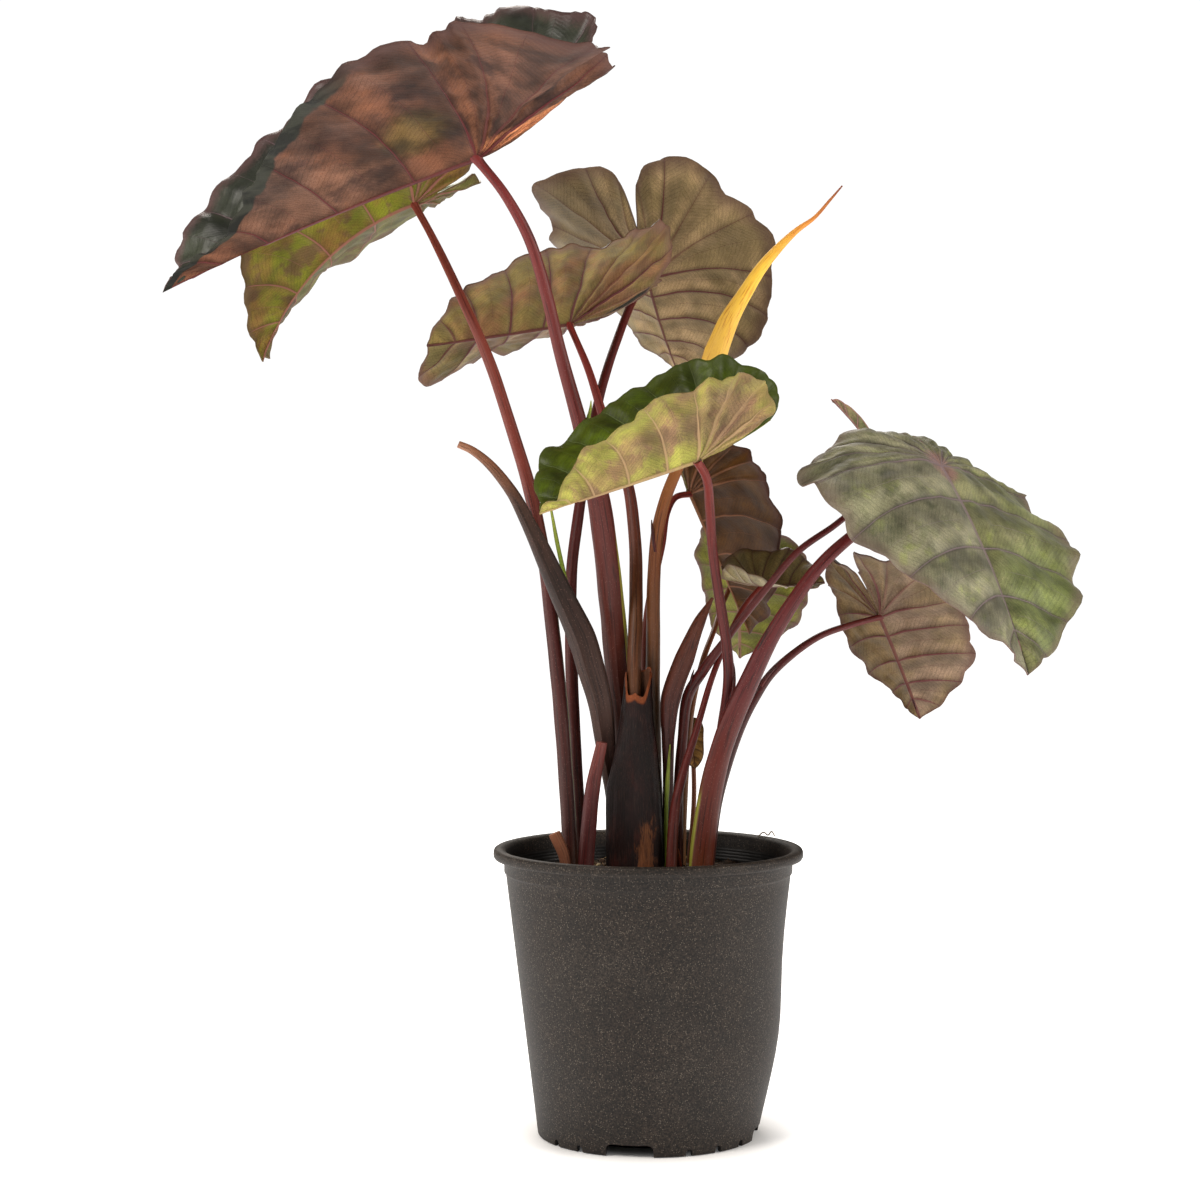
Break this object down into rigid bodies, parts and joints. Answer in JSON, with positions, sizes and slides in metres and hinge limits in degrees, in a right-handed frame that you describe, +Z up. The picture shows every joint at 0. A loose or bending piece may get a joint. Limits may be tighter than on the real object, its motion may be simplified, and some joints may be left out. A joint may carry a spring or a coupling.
{
  "type": "potted colocasia",
  "caption": "Potted colocasia: broad veined leaves on long dark stalks, a closed yellow spathe and old sheaths, in a plain dark grower's pot filled with soil.",
  "frame": {"origin": "centre of the flat disc under the pot, which stands on the floor", "axes": "+Z up along the pot's axis, +X to the right of the side that faces the viewer (-Y)"},
  "size_m": [0.6682, 0.5129, 0.8411],
  "materials": {
    "pot_plastic": "satin",
    "potting_mix": "matte",
    "old_sheath": "satin",
    "stalk": "satin",
    "brown_blade": "satin",
    "green_blade": "satin",
    "grey_blade": "satin",
    "withered_blade": "matte",
    "spathe": "satin"
  },
  "bodies": {
    "root": {"pot": "pot_plastic", "soil": "potting_mix", "sheath_trunk": "old_sheath", "leaf_1": "brown_blade", "leaf_2": "green_blade", "leaf_3": "brown_blade", "leaf_4": "brown_blade", "leaf_5": "green_blade", "leaf_6": "brown_blade", "leaf_7": "brown_blade", "leaf_8": "brown_blade", "leaf_9": "grey_blade", "leaf_10": "green_blade", "leaf_11": "withered_blade", "leaf_12": "brown_blade", "stalk_1": "stalk", "stalk_2": "stalk", "stalk_3": "stalk", "stalk_4": "stalk", "stalk_5": "stalk", "stalk_6": "stalk", "stalk_7": "stalk", "stalk_8": "stalk", "stalk_9": "stalk", "stalk_10": "stalk", "stalk_11": "stalk", "stalk_12": "stalk", "spathe_stalk": "stalk", "spathe": "spathe", "rolled_leaf": "stalk", "stump_1": "old_sheath", "stump_2": "old_sheath", "stump_3": "old_sheath"}
  },
  "joints": []
}
